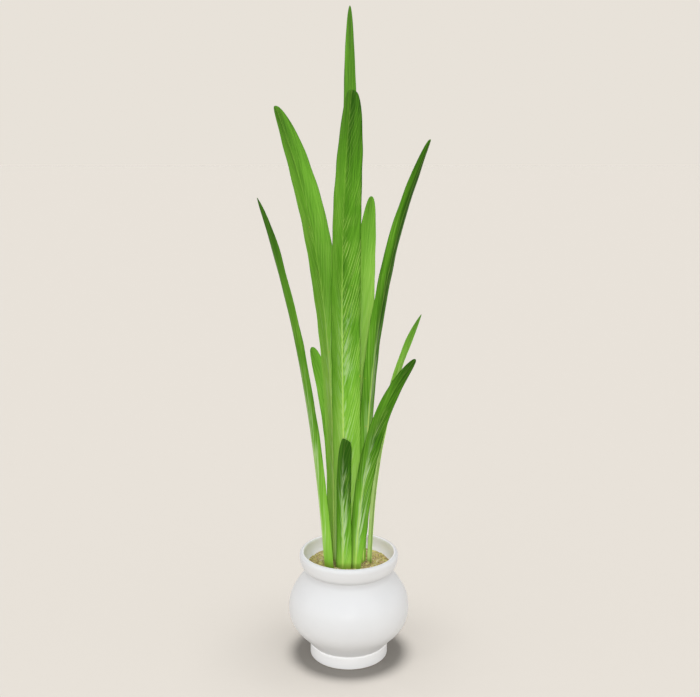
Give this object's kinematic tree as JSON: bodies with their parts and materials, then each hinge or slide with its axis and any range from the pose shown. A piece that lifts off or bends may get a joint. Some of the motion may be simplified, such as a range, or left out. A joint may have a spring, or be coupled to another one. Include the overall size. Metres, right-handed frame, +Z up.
{
  "type": "potted papyrus plant",
  "caption": "Upright clump of long strap-shaped green leaves growing from soil in a round white pot with a flared collar and a short foot.",
  "frame": {"origin": "centre of the pot's flat underside", "axes": "+Z up the plant, -Y towards the plant's front, +X to the right seen from the front"},
  "size_m": [0.2056, 0.1628, 0.8421],
  "materials": {
    "pot_glaze": "satin",
    "soil_mix": "matte",
    "leaf_green": "satin"
  },
  "bodies": {
    "root": {"pot": "pot_glaze", "soil": "soil_mix", "leaf_back_tall": "leaf_green", "leaf_centre_broad": "leaf_green", "leaf_left_broad": "leaf_green", "leaf_left_outer": "leaf_green", "leaf_right_tall": "leaf_green", "leaf_right_inner": "leaf_green", "leaf_right_low_back": "leaf_green", "leaf_right_low_front": "leaf_green", "leaf_left_low": "leaf_green", "leaf_front_short": "leaf_green"}
  },
  "joints": []
}
